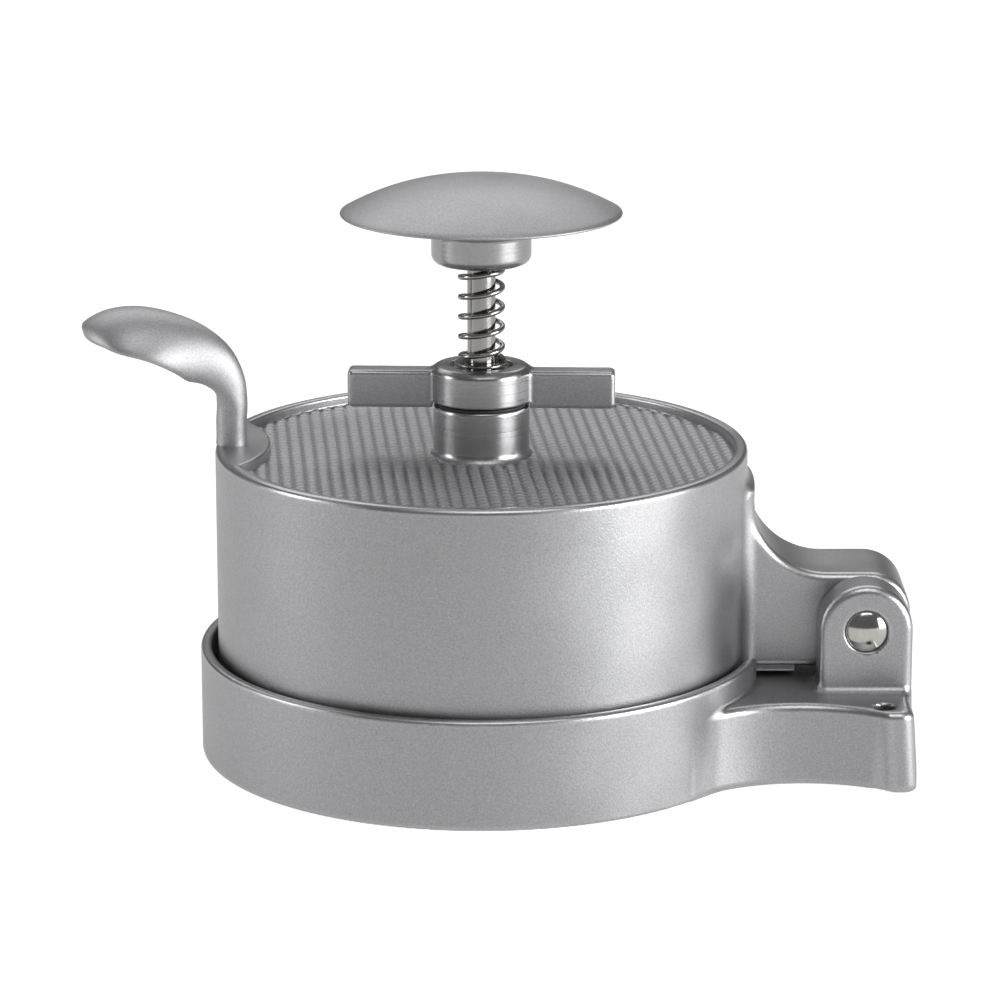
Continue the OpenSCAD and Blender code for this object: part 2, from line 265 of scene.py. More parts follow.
def lathe(name, section, segments=128, sharp_angle=32, along_y=None):
    """Turns a closed half section of (radius, height) about the press axis,
    or about the hinge axis, with the heights then measured along Y."""
    points, rings = [], []
    for radius, height in section:
        if radius < 1e-6:
            rings.append([len(points)] * segments)
            points.append((0, 0, height))
            continue
        rings.append(list(range(len(points), len(points) + segments)))
        for k in range(segments):
            turn = 2 * math.pi * k / segments
            points.append((radius * math.cos(turn), radius * math.sin(turn), height))
    faces = []
    for i, ring in enumerate(rings):
        beyond = rings[(i + 1) % len(rings)]
        for k in range(segments):
            following = (k + 1) % segments
            loop = [ring[k], ring[following], beyond[following], beyond[k]]
            face = list(dict.fromkeys(loop))
            if len(face) > 2:
                faces.append(face)
    points = np.array(points, float)
    if along_y:
        points = np.stack([PIN_X + points[:, 1], points[:, 2], PIN_Z + points[:, 0]], axis=1)
    obj = to_object(name, points, faces)
    outward(obj)
    obj.data.set_sharp_from_angle(angle=math.radians(sharp_angle))
    return obj


def outward(obj):
    """Turns every face of a closed mesh outward."""
    mesh = bmesh.new()
    mesh.from_mesh(obj.data)
    bmesh.ops.recalc_face_normals(mesh, faces=mesh.faces)
    mesh.to_mesh(obj.data)
    mesh.free()


def sweep(name, stations, sharp_angle=50):
    """Joins rings of points, one per station, and closes both ends."""
    sides = len(stations[0])
    points = np.concatenate(stations)
    faces = []
    for i in range(len(stations) - 1):
        for k in range(sides):
            following = (k + 1) % sides
            low, high = i * sides, (i + 1) * sides
            faces.append([low + k, low + following, high + following, high + k])
    faces.append(list(range(sides))[::-1])
    faces.append(list(range(len(points) - sides, len(points))))
    obj = to_object(name, points, faces)
    outward(obj)
    obj.data.set_sharp_from_angle(angle=math.radians(sharp_angle))
    return obj


def waffle(name, radius, valley_z, peak, below, facing=1):
    """A round field of small cast pyramids, closed underneath. It faces up, or down with facing -1."""
    pitch = WAFFLE_PITCH
    turn = WAFFLE_TURN
    per_pitch = 6
    step = pitch / per_pitch
    count = int(2 * radius / step) + 4
    line = (np.arange(count) - count / 2) * step
    u, v = np.meshgrid(line, line, indexing="ij")
    groove = np.minimum(np.abs((u / pitch) % 1 - 0.5), np.abs((v / pitch) % 1 - 0.5)) * pitch
    height = peak * np.sin(np.clip(groove / (0.34 * pitch), 0, 1) * math.pi / 2) ** 1.4
    x = u * math.cos(turn) - v * math.sin(turn)
    y = u * math.sin(turn) + v * math.cos(turn)
    index = -np.ones(u.shape, int)
    quads = []
    middle = np.hypot((x[:-1, :-1] + x[1:, 1:]) / 2, (y[:-1, :-1] + y[1:, 1:]) / 2)
    for i, j in np.argwhere(middle < radius):
        quads.append([(i, j), (i + 1, j), (i + 1, j + 1), (i, j + 1)])
    used = sorted({corner for quad in quads for corner in quad})
    for n, corner in enumerate(used):
        index[corner] = n
    points = np.array([(x[c], y[c], valley_z + facing * height[c]) for c in used])
    faces = [[index[c] for c in quad] for quad in quads]
    obj = to_object(name, points, faces)
    mesh = bmesh.new()
    mesh.from_mesh(obj.data)
    rim = [edge for edge in mesh.edges if edge.is_boundary]
    for vertex in {vertex for edge in rim for vertex in edge.verts}:
        away = math.hypot(vertex.co.x, vertex.co.y)
        vertex.co.x *= radius * MM / away
        vertex.co.y *= radius * MM / away
        vertex.co.z = valley_z * MM
    skirt = bmesh.ops.extrude_edge_only(mesh, edges=rim)["geom"]
    lower = [item for item in skirt if isinstance(item, bmesh.types.BMVert)]
    for vertex in lower:
        vertex.co.z = (valley_z - facing * below) * MM
    bmesh.ops.contextual_create(mesh, geom=[e for e in mesh.edges if e.is_boundary])
    bmesh.ops.recalc_face_normals(mesh, faces=mesh.faces)
    mesh.to_mesh(obj.data)
    mesh.free()
    obj.data.set_sharp_from_angle(angle=math.radians(40))
    # The edge attribute runs from -0.5 in the grooves, which the material turns darker as painted shade, to
    # 0.4 on the pyramid tops, which it brightens as wear.
    bend = obj.data.attributes.new("edge", "FLOAT", "POINT")
    for vertex in obj.data.vertices:
        rise = facing * (vertex.co.z / MM - valley_z) / peak
        bend.data[vertex.index].value = min(max(rise * 0.9 - 0.5, -0.5), 0.4)
    return obj


# ---------------------------------------------------------------- materials

CAST_COLOUR = (0.42, 0.42, 0.43)
CAST_ROUGH = 0.4
TURNED_COLOUR = (0.41, 0.41, 0.415)
TURNED_ROUGH = 0.29
NYLON_COLOUR = (0.028, 0.028, 0.03)


def new_material(name, roughness, metallic=1.0):
    material = bpy.data.materials.new(name)
    material.use_nodes = True
    nodes = material.node_tree.nodes
    shader = nodes["Principled BSDF"]
    shader.inputs["Metallic"].default_value = metallic
    shader.inputs["Roughness"].default_value = roughness
    return material, nodes, material.node_tree.links, shader


def noise(nodes, links, place, scale, detail=3.0, roughness=0.55):
    """A noise texture over a place, with scale in features per metre."""
    texture = nodes.new("ShaderNodeTexNoise")
    texture.inputs["Scale"].default_value = scale
    texture.inputs["Detail"].default_value = detail
    texture.inputs["Roughness"].default_value = roughness
    links.new(place, texture.inputs["Vector"])
    return texture.outputs["Fac"]


def spread(nodes, links, value, from_range, to_range):
    """Maps a value from one range to another, held at its ends."""
    ranged = nodes.new("ShaderNodeMapRange")
    ranged.inputs["From Min"].default_value = from_range[0]
    ranged.inputs["From Max"].default_value = from_range[1]
    ranged.inputs["To Min"].default_value = to_range[0]
    ranged.inputs["To Max"].default_value = to_range[1]
    links.new(value, ranged.inputs["Value"])
    return ranged.outputs["Result"]


def calc(nodes, links, operation, first, second=None):
    """The result of a Math node on one or two values, of which either may be a number."""
    made = nodes.new("ShaderNodeMath")
    made.operation = operation
    for socket, value in zip(made.inputs, (first, second)):
        if value is None:
            continue
        if isinstance(value, (int, float)):
            socket.default_value = value
        else:
            links.new(value, socket)
    return made.outputs[0]


def tint(nodes, links, value, colour):
    """Scales a colour by a value."""
    scaled = nodes.new("ShaderNodeVectorMath")
    scaled.operation = "SCALE"
    scaled.inputs[0].default_value = colour
    links.new(value, scaled.inputs["Scale"])
    return scaled.outputs["Vector"]


def bump(nodes, links, shader, height, strength, distance):
    """Turns a height into fine relief, with distance in metres."""
    made = nodes.new("ShaderNodeBump")
    made.inputs["Strength"].default_value = strength
    made.inputs["Distance"].default_value = distance
    links.new(height, made.inputs["Height"])
    links.new(made.outputs["Normal"], shader.inputs["Normal"])


def cast_aluminium(name, base_rough, hollow_shade):
    """Tumbled satin casting: a fine metallic grain, faint mottling, worn bright edges and painted shade that
    darkens the hollows.
    """
    material, nodes, links, shader = new_material(name, base_rough)
    place = nodes.new("ShaderNodeTexCoord").outputs["Object"]
    grain = noise(nodes, links, place, 2300, 1.0, 0.5)
    flecks = noise(nodes, links, place, 4200, 0.0, 0.5)
    mottle = noise(nodes, links, place, 60, 1.0, 0.5)
    edge = nodes.new("ShaderNodeAttribute")
    edge.attribute_name = "edge"
    worn = spread(nodes, links, edge.outputs["Fac"], (0.04, 0.6), (0.0, 0.14))
    # painted shade: where the edge attribute is below 0, in hollows and inner corners, the colour is darkened
    # by up to the amount given as the third argument
    hollow = spread(nodes, links, edge.outputs["Fac"], (-0.5, -0.05), (-hollow_shade, 0.0))
    light = spread(nodes, links, grain, (0.3, 0.7), (0.9, 1.08))
    sparkle = spread(nodes, links, flecks, (0.35, 0.72), (-0.06, 0.12))
    cloud = spread(nodes, links, mottle, (0.3, 0.7), (-0.02, 0.02))
    total = calc(nodes, links, "ADD", light, sparkle)
    total = calc(nodes, links, "ADD", total, cloud)
    total = calc(nodes, links, "ADD", total, worn)
    total = calc(nodes, links, "ADD", total, hollow)
    links.new(tint(nodes, links, total, CAST_COLOUR), shader.inputs["Base Color"])
    rough = spread(nodes, links, mottle, (0.3, 0.7), (base_rough - 0.04, base_rough + 0.04))
    rough = calc(nodes, links, "SUBTRACT", rough, calc(nodes, links, "MULTIPLY", worn, 0.35))
    links.new(rough, shader.inputs["Roughness"])
    bump(nodes, links, shader, grain, 0.4, 0.00006)
    return material


def turned_aluminium():
    """Lathe-turned aluminium: fine rings round the press axis under a satin finish."""
    material, nodes, links, shader = new_material("turned_aluminium", TURNED_ROUGH)
    shader.inputs["Anisotropic"].default_value = 0.5
    shader.inputs["Anisotropic Rotation"].default_value = 0.25
    tangent = nodes.new("ShaderNodeTangent")
    tangent.direction_type = "RADIAL"
    tangent.axis = "Z"
    links.new(tangent.outputs["Tangent"], shader.inputs["Tangent"])
    place = nodes.new("ShaderNodeTexCoord").outputs["Object"]
    rings = noise(nodes, links, around_axis(nodes, links, place), 1900, 3.0, 0.7)
    grain = noise(nodes, links, place, 1500, 2.0, 0.6)
    light = spread(nodes, links, rings, (0.3, 0.7), (0.95, 1.04))
    sparkle = spread(nodes, links, grain, (0.3, 0.7), (-0.06, 0.06))
    total = calc(nodes, links, "ADD", light, sparkle)
    links.new(tint(nodes, links, total, TURNED_COLOUR), shader.inputs["Base Color"])
    rough = spread(nodes, links, rings, (0.3, 0.7), (TURNED_ROUGH - 0.05, TURNED_ROUGH + 0.05))
    links.new(rough, shader.inputs["Roughness"])
    bump(nodes, links, shader, rings, 0.2, 0.00004)
    return material


def around_axis(nodes, links, place):
    """A place turned into radius and height, so that a texture over it runs in rings."""
    parts = nodes.new("ShaderNodeSeparateXYZ")
    links.new(place, parts.inputs[0])
    square_x = calc(nodes, links, "MULTIPLY", parts.outputs["X"], parts.outputs["X"])
    square_y = calc(nodes, links, "MULTIPLY", parts.outputs["Y"], parts.outputs["Y"])
    radius = calc(nodes, links, "SQRT", calc(nodes, links, "ADD", square_x, square_y))
    joined = nodes.new("ShaderNodeCombineXYZ")
    links.new(radius, joined.inputs["X"])
    links.new(parts.outputs["Z"], joined.inputs["Z"])
    return joined.outputs[0]


def bright_metal(name, colour, roughness, scratch, smudge=0.05):
    """Polished or plated metal with hairline scratches and faint smudges."""
    material, nodes, links, shader = new_material(name, roughness)
    place = nodes.new("ShaderNodeTexCoord").outputs["Object"]
    stretch = nodes.new("ShaderNodeMapping")
    stretch.inputs["Scale"].default_value = (1.0, 1.0, 0.08)
    stretch.inputs["Rotation"].default_value = (0.5, 0.3, 0.2)
    links.new(place, stretch.inputs["Vector"])
    lines = noise(nodes, links, stretch.outputs["Vector"], 2600, 2.0, 0.7)
    smears = noise(nodes, links, place, 160, 3.0, 0.6)
    total = calc(nodes, links, "ADD", spread(nodes, links, lines, (0.3, 0.7), (0.93, 1.04)),
                 spread(nodes, links, smears, (0.3, 0.7), (-smudge, smudge)))
    links.new(tint(nodes, links, total, colour), shader.inputs["Base Color"])
    links.new(spread(nodes, links, smears, (0.3, 0.7), (roughness * 0.7, roughness * 1.4)),
              shader.inputs["Roughness"])
    bump(nodes, links, shader, lines, scratch, 0.00002)
    return material


def black_nylon():
    """Moulded nylon with a faint matte texture."""
    material, nodes, links, shader = new_material("black_nylon", 0.55, metallic=0.0)
    place = nodes.new("ShaderNodeTexCoord").outputs["Object"]
    texture = noise(nodes, links, place, 1400, 3.0, 0.6)
    total = spread(nodes, links, texture, (0.3, 0.7), (0.8, 1.2))
    links.new(tint(nodes, links, total, NYLON_COLOUR), shader.inputs["Base Color"])
    links.new(spread(nodes, links, texture, (0.3, 0.7), (0.45, 0.65)), shader.inputs["Roughness"])
    bump(nodes, links, shader, texture, 0.2, 0.00003)
    return material


# The last number sets the painted shade in hollows; rough_aluminium, on the waffles, darkens their grooves
# most.
cast_metal = cast_aluminium("cast_aluminium", CAST_ROUGH, 0.16)
satin_metal = cast_aluminium("satin_aluminium", CAST_ROUGH + 0.1, 0.16)
rough_metal = cast_aluminium("rough_aluminium", CAST_ROUGH + 0.15, 0.6)
turned_metal = turned_aluminium()
pin_steel = bright_metal("polished_steel", (0.56, 0.55, 0.52), 0.12, 0.15)
# painted shade: the rod, and the spring with its seats, take darker copies of the polished steel colour,
# standing in for the shade in their reflections
shaded_rod_steel = bright_metal("shaded_rod_steel", (0.36, 0.355, 0.345), 0.14, 0.15)
shaded_coil_steel = bright_metal("spring_steel", (0.36, 0.355, 0.34), 0.2, 0.2)
thread_steel = bright_metal("threaded_steel", (0.5, 0.5, 0.5), 0.3, 0.3)
zinc_steel = bright_metal("screw_steel", (0.42, 0.43, 0.46), 0.32, 0.2)
nylon = black_nylon()


def finish_piece(obj, body, slot_name, material, *nodes):
    """Gives a piece its body and its material, and hides the CAD nodes that it stands for."""
    obj.data.materials.clear()
    obj.data.materials.append(material)
    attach(obj, body)
    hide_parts(*nodes)
    return obj


def paint(obj, material, test):
    """Gives a second material to the faces whose centre, in millimetres, passes a test."""
    obj.data.materials.append(material)
    for face in obj.data.polygons:
        if test(face.center / MM):
            face.material_index = 1


# ---------------------------------------------------------------- base

WAIST_X = BASE_R + 7
WAIST_W = 66.0
RUNOUT_R = BASE_R - 0.3
WAIST_R = (WAIST_X ** 2 + WAIST_W ** 2 / 4 - RUNOUT_R ** 2) / (2 * RUNOUT_R - WAIST_W)
TONGUE_HALF_W = 39.5
TONGUE_LEAN = 0.07
ARM_GAP_HALF_W = 16
BENCH_HOLE_X = PIN_X + 3.3
BENCH_HOLE_Y = 34.4
BENCH_HOLE_R = 2.5


def tongue_plan(x, y):
    """Plan of the hinge tongue: a square end behind two concave waist arcs."""
    side = np.abs(y)
    end = rectangle(x, side, (BASE_R / 2, TONGUE_END), (-TONGUE_HALF_W, TONGUE_HALF_W), 3.2)
    root = rectangle(x, side, (BASE_R / 2, WAIST_X), (-0.69 * BASE_R, 0.69 * BASE_R), 1)
    plan = np.minimum(end, root)
    return round_cut(plan, circle(x, side, WAIST_X, WAIST_W / 2 + WAIST_R, WAIST_R), 0.4)


def ear(x, y, z, radius, near, far):
    """A hinge ear: an upright cheek with a round top."""
    side_view = np.hypot(x - PIN_X, np.maximum(z - PIN_Z, 0)) - radius
    return np.maximum(round_keep(side_view, between(y, near, far), 1.9), TONGUE_H / 2 - z)


def base_field(x, y, z):
    r = np.hypot(x, y)
    dish = round_keep(r - BASE_R, between(z, 0, RIM_TOP), 0.9)
    arm_gap = np.maximum(np.maximum(BASE_R / 2 - x, np.abs(y) - ARM_GAP_HALF_W), TONGUE_H - 1.5 - z)
    dish = round_cut(dish, arm_gap, 1.0)
    tongue = round_keep(tongue_plan(x + TONGUE_LEAN * (z - 6), y), between(z, 0, TONGUE_H), 1.8)
    body = round_join(dish, tongue, 0.9)
    inner = CLEVIS_GAP / 2
    body = round_join(body, ear(x, y, z, EAR_R, -inner - EAR_T, -inner), 2.2)
    body = round_join(body, ear(x, y, z, FAR_EAR_R, inner, inner + FAR_EAR_T), 2.0)
    body = round_cut(body, round_keep(r - DISH_IN, FLOOR_Z - z, 1.2), 0.8)
    underside = round_keep(r - (DISH_IN - 2), z - (FLOOR_Z - FLOOR_T), 1.5)
    body = round_cut(body, underside, 0.4)
    hollow = rectangle(x, y, (BASE_R + 1.5, BASE_R + 28.5), (-28, 28), 3)
    body = round_cut(body, round_keep(hollow, z - (TONGUE_H - 6), 1.5), 0.4)
    body = round_cut(body, circle(x, z, PIN_X, PIN_Z, PIN_R + 0.08), 0.5)
    return round_cut(body, circle(x, np.abs(y), BENCH_HOLE_X, BENCH_HOLE_Y, BENCH_HOLE_R), 0.3)


def make_base():
    casting = cast("base_casting", base_field, base_low, base_high, 0.6)
    finish_piece(casting, "base", "cast_aluminium", cast_metal, "base")
    grid = waffle("pressing_floor_waffle", PATTY_WAFFLE_R, FLOOR_Z, PATTY_WAFFLE_PEAK, 0.8)
    finish_piece(grid, "base", "cast_aluminium", rough_metal, "base")


# ---------------------------------------------------------------- housing

SWEEP_R = 17.3
SWEEP_X = RING_OUT + 0.8 + SWEEP_R
ARM_TOP = PIN_Z + 10.3
SWEEP_Z = ARM_TOP + SWEEP_R
ARM_LOW = TONGUE_H + 1.3
ARM_STEP_X = BASE_R + 7.3
LEVER_LAND_X = -88
LEVER_LAND_R = 40
GUIDE_BOSS_R = 10.5
STUD_BOSS_X = -54.5
STUD_BOSS_R = 6.5


def arm_side(x, z):
    """Side view of the hinge arm: a swept web from the ring down to a round knuckle."""
    web = rectangle(x, z, (RING_OUT - 4, KNUCKLE_X), (ARM_LOW + 1, SWEEP_Z + 2), 0.6)
    over = np.maximum(SWEEP_X - x, ARM_TOP - z)
    sweep_cut = np.minimum(circle(x, z, SWEEP_X, SWEEP_Z, SWEEP_R), over)
    web = np.maximum(web, -sweep_cut)
    under_knuckle = np.minimum(x - PIN_X, PIN_Z - z)
    web = np.maximum(web, under_knuckle)
    boss = circle(x, z, PIN_X, PIN_Z, PIN_BOSS_R)
    knuckle = circle(x, z, KNUCKLE_X, KNUCKLE_Z, KNUCKLE_R)
    return np.minimum(web, np.minimum(boss, knuckle))


def stop_block(x, y, z):
    """A narrower step under the arm, beside the ring."""
    side_view = rectangle(x, z, (RING_OUT - 4, ARM_STEP_X), (ARM_LOW - 0.5, ARM_LOW + 6), 0.5)
    return round_keep(side_view, np.abs(y) - ARM_W / 2 + 1.2, 0.6)


def housing_field(x, y, z):
    r = np.hypot(x, y)
    body = round_keep(r - RING_OUT, between(z, RING_LOW, HOUSING_TOP), 1.3)
    recess = round_keep(r - (RING_OUT - RIM_LAND), TOP_Z - 0.2 - z, 0.8)
    recess = round_cut(recess, circle(x, y, LEVER_LAND_X, 0, LEVER_LAND_R), 0.6)
    body = round_cut(body, recess, 0.7)
    neck = np.maximum(round_keep(r - NECK_R, z - NECK_TOP, 0.7), 60 - z)
    body = round_join(body, neck, 2.4)
    arm = round_keep(arm_side(x, z), np.abs(y) - ARM_W / 2, 1.9)
    arm = np.minimum(arm, stop_block(x, y, z))
    body = round_join(body, arm, 3.6)
    under_top = TOP_Z - TOP_T
    inside = round_keep(r - RING_IN, z - under_top, 1.6)
    boss = round_keep(r - GUIDE_BOSS_R, under_top - 2 - z, 0.6)
    stud_boss = round_keep(circle(x, y, STUD_BOSS_X, 0, STUD_BOSS_R), under_top - 8.5 - z, 0.8)
    inside = round_cut(inside, np.minimum(boss, stud_boss), 1.2)
    body = round_cut(body, inside, 0.4)
    body = round_cut(body, r - SLEEVE_R - 0.05, 0.4)
    return round_cut(body, circle(x, z, PIN_X, PIN_Z, PIN_R + 0.1), 0.5)


def make_housing():
    casting = cast("housing_casting", housing_field, ring_low, ring_high, 0.6)
    finish_piece(casting, "housing", "cast_aluminium", cast_metal, "housing")
    paint(casting, turned_metal, lambda at: at.xy.length < NECK_R + 0.2 and at.z > TOP_Z + 1.5)
    grid = waffle("housing_top_waffle", TOP_WAFFLE_R, TOP_Z - 0.1, TOP_WAFFLE_PEAK, 1.5)
    finish_piece(grid, "housing", "cast_aluminium", rough_metal, "housing")


# ---------------------------------------------------------------- hinge

def make_hinge():
    """The pin: a domed end in the near ear, and a groove for its clip past the far one."""
    pin_low, pin_high = node_box("hinge_pin")
    head, tail = pin_low[1], pin_high[1]
    groove = CLEVIS_GAP / 2 + FAR_EAR_T + 0.4
    groove_r = 4.0
    dome_r = 8.0
    dome_edge = 4.55
    steps = 12
    dome = []
    for k in range(steps + 1):
        r = dome_edge * k / steps
        dome.append((r, head + dome_r - math.sqrt(dome_r ** 2 - r ** 2)))
    shoulder = dome[-1][1]
    shaft = [(dome_edge, shoulder, 0), (PIN_R, shoulder + 0.25, 0.1),
             (PIN_R, groove, 0.2), (groove_r, groove, 0.1),
             (groove_r, groove + 1, 0.1), (PIN_R, groove + 1, 0.2),
             (PIN_R, tail, 0.6), (0, tail, 0)]
    piece = lathe("hinge_pin_shaft", dome + outline(shaft)[1:], 96, along_y=True)
    finish_piece(piece, "base", "polished_steel", pin_steel, "hinge_pin")


# ---------------------------------------------------------------- lever

LEVER_STATIONS = [
    # x, z of the middle, half width, thickness, droop of the sides
    (-56.8, 71.2, 3.6, 7.2, 0.0),
    (-56.8, 73.2, 3.5, 7.0, 0.0),
    (-56.8, 76.5, 3.5, 7.0, 0.0),
    (-56.6, 81.0, 3.5, 7.0, 0.4),
    (-57.2, 86.3, 4.6, 7.0, 3.4),
    (-59.8, 91.5, 6.8, 7.0, 6.8),
    (-64.6, 95.8, 9.0, 6.4, 7.2),
    (-71.0, 98.7, 11.2, 5.8, 6.6),
    (-77.5, 100.1, 12.0, 5.4, 6.0),
    (-84.0, 99.8, 12.0, 5.0, 5.0),
    (-90.2, 97.8, 12.0, 4.4, 3.4),
]
LEVER_SIDES = 48
PAD_ROUND_FROM = -77.5


def smooth_path(stations, steps):
    """A smooth curve through stations of any number of values."""
    values = np.array(stations, float)
    ahead = 2 * values[-1] - values[-2]
    behind = 2 * values[0] - values[1]
    padded = np.vstack([behind, values, ahead])
    rows = []
    for i in range(1, len(padded) - 2):
        p0, p1, p2, p3 = padded[i - 1:i + 3]
        for k in range(steps):
            t = k / steps
            rows.append(0.5 * (2 * p1 + (p2 - p0) * t + (2 * p0 - 5 * p1 + 4 * p2 - p3) * t ** 2
                               + (3 * p1 - p0 - 3 * p2 + p3) * t ** 3))
    rows.append(values[-1])
    return np.array(rows)


def make_lever():
    """A stem that bends over into a domed thumb pad with a round end."""
    path = smooth_path(LEVER_STATIONS, 14)
    tip_x = path[-1, 0]
    rings = []
    angles = np.arange(LEVER_SIDES) * 2 * math.pi / LEVER_SIDES
    for i, (x, z, half_w, thick, droop) in enumerate(path):
        ahead = path[min(i + 1, len(path) - 1)][:2] - path[max(i - 1, 0)][:2]
        ahead /= np.linalg.norm(ahead)
        out = np.array([ahead[1], -ahead[0]])
        share = min(max((x - PAD_ROUND_FROM) / (tip_x - PAD_ROUND_FROM), 0), 0.9995)
        taper = math.sqrt(1 - share ** 2.4)
        across = np.cos(angles)
        fullness = np.sign(np.sin(angles)) * np.abs(np.sin(angles)) ** 0.85
        lift = fullness * thick / 2 * math.sqrt(taper) - droop * np.abs(across) ** 2.2 * taper
        rings.append(np.stack([x + out[0] * lift, across * half_w * taper, z + out[1] * lift], axis=1))
    piece = sweep("lever_casting", rings, 60)
    finish_piece(piece, "housing", "cast_aluminium", rough_metal, "lever")


# ---------------------------------------------------------------- adjuster

WING_REACH = 30.3
WING_H = 8.6
WING_HALF_T = 3.1
GRUB_HOLE_R = 2.0
THREAD_PITCH = 2.5
THREAD_DEPTH = 1.2


def nut_field(x, y, z):
    along = x * math.cos(WING_TURN) + y * math.sin(WING_TURN)
    across = y * math.cos(WING_TURN) - x * math.sin(WING_TURN)
    r = np.hypot(x, y)
    collar = round_keep(r - COLLAR_R, between(z, COLLAR_Z, COLLAR_TOP), 0.5)
    chamfer = (r + z - COLLAR_R - COLLAR_TOP + 1.1) / math.sqrt(2)
    collar = round_keep(collar, chamfer, 0.4)
    wing_top = COLLAR_TOP - 1.1
    wings = rectangle(np.abs(along), z, (0, WING_REACH), (wing_top - WING_H, wing_top), 1.2)
    wings = round_keep(wings, np.abs(across) - WING_HALF_T, 1.0)
    body = round_join(collar, wings, 1.0)
    neck_gap = np.maximum(r - NECK_R - 0.4, z - COLLAR_Z)
    body = round_cut(body, neck_gap, 0.3)
    body = round_cut(body, r - SLEEVE_R, 0.3)
    grub = np.maximum(circle(along, z, 0, COLLAR_Z + 5.2, GRUB_HOLE_R), -across)
    return round_cut(body, grub, 0.3)


def make_adjuster():
    nut = cast("adjuster_collar", nut_field, nut_low, nut_high, 0.36)
    finish_piece(nut, "adjuster", "turned_aluminium", cast_metal, "adjuster_nut")
    paint(nut, turned_metal, lambda at: at.xy.length < COLLAR_R + 0.1 and at.z > COLLAR_Z - 0.1)
    piece = threaded_sleeve()
    finish_piece(piece, "adjuster", "threaded_steel", thread_steel, "adjuster_sleeve")


def threaded_sleeve():
    """A tube with a real screw thread along the whole of its outside."""
    segments = 72
    low, high = sleeve_low[2], sleeve_high[2]
    heights = np.arange(low, high, THREAD_PITCH / 12)
    points, rings = [], []
    for height in list(heights) + [high]:
        rings.append(range(len(points), len(points) + segments))
        for k in range(segments):
            turn = k / segments
            phase = (height / THREAD_PITCH - turn) % 1
            valley = 1 - min(max(abs(phase - 0.5) * 2.6 - 0.15, 0), 1)
            radius = SLEEVE_R - 0.02 - THREAD_DEPTH * valley
            angle = 2 * math.pi * turn
            points.append((radius * math.cos(angle), radius * math.sin(angle), height))
    for height in (high, low):
        rings.append(range(len(points), len(points) + segments))
        for k in range(segments):
            angle = 2 * math.pi * k / segments
            points.append((SLEEVE_BORE_R * math.cos(angle), SLEEVE_BORE_R * math.sin(angle), height))
    faces = []
    for i, ring in enumerate(rings):
        beyond = rings[(i + 1) % len(rings)]
        for k in range(segments):
            following = (k + 1) % segments
            faces.append([ring[k], ring[following], beyond[following], beyond[k]])
    obj = to_object("adjuster_threaded_sleeve", points, faces)
    outward(obj)
    obj.data.set_sharp_from_angle(angle=math.radians(35))
    return obj


# ---------------------------------------------------------------- plunger

SPRING_TURNS = 5.3
CLOSED_TURNS = 0.5
WIRE_R = 0.625

KNOB_HUB_R = 11.3
KNOB_HUB_H = 7.9
KNOB_LIP_H = 11.2

PLATE_HUB_R = 12
RIB_REACH = 51.5
RIB_HALF_T = 1.5


def make_spring():
    """A compression spring with closed ends, built at the length of its CAD node; on the real press it
    shortens as the knob is pushed.
    """
    steps = 40
    sides = 14
    height = spring_high[2] - spring_low[2]
    free = height - 2 * WIRE_R * (1 + 2 * CLOSED_TURNS)
    mean_r = spring_high[0] - WIRE_R
    rings = []
    for i in range(round(SPRING_TURNS * steps) + 1):
        turn = i / steps
        closed = min(turn, CLOSED_TURNS) + max(turn - SPRING_TURNS + CLOSED_TURNS, 0)
        rise = WIRE_R + closed * 2 * WIRE_R
        rise += (turn - closed) * free / (SPRING_TURNS - 2 * CLOSED_TURNS)
        angle = 2 * math.pi * turn
        outward_way = np.array([math.cos(angle), math.sin(angle), 0])
        centre = outward_way * mean_r + np.array([0, 0, spring_low[2] + rise])
        around = np.arange(sides) * 2 * math.pi / sides
        rings.append(centre + np.outer(np.cos(around) * WIRE_R, outward_way)
                     + np.outer(np.sin(around) * WIRE_R, (0, 0, 1)))
    piece = sweep("return_spring", rings)
    finish_piece(piece, "spring_carrier", "spring_steel", shaded_coil_steel, "spring")
    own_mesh(piece)


def make_knob():
    """A domed palm knob with a rounded lip and a turned hub."""
    low, top = knob_low[2], knob_high[2]
    radius = knob_high[0]
    lip_z = low + KNOB_LIP_H
    rise = top - lip_z - 0.6
    steps = 24
    dome = []
    for k in range(steps + 1):
        share = 1 - k / steps
        dome.append((share * (radius - 0.35), top - rise * share ** 2.3))
    under = [(0, low + 1, 0), (ROD_R + 0.1, low + 1, 0), (ROD_R + 0.1, low, 0.1),
             (KNOB_HUB_R, low, 2.2), (KNOB_HUB_R, low + KNOB_HUB_H, 2.0),
             (radius - 4, lip_z - 0.5, 6), (radius, lip_z + 0.1, 0.3)]
    section = outline(under + [(radius - 0.35, lip_z + 0.6, 0)])[:-1] + dome
    piece = lathe("palm_knob", section, 160)
    finish_piece(piece, "plunger", "cast_aluminium", satin_metal, "knob")
    paint(piece, turned_metal, lambda at: at.xy.length < KNOB_HUB_R + 0.2 and at.z < low + KNOB_HUB_H - 0.4)


def plate_field(x, y, z):
    """A disc with a hub and four ribs on the diagonals."""
    r = np.hypot(x, y)
    low = plate_low[2]
    disc = round_keep(r - plate_high[0], between(z, low + 0.5, low + 5), 0.8)
    hub = np.maximum(round_keep(r - PLATE_HUB_R, z - plate_high[2], 0.8), low + 2 - z)
    body = round_join(disc, hub, 2.5)
    along = (np.abs(x) + np.abs(y)) / math.sqrt(2)
    across = np.abs(np.abs(x) - np.abs(y)) / math.sqrt(2)
    rib = round_keep(across - RIB_HALF_T, np.maximum(along - RIB_REACH, z - low - 8.5), 0.8)
    rib = np.maximum(rib, low + 2 - z)
    body = round_join(body, rib, 1.5)
    return round_cut(body, r - ROD_R, 0.2)


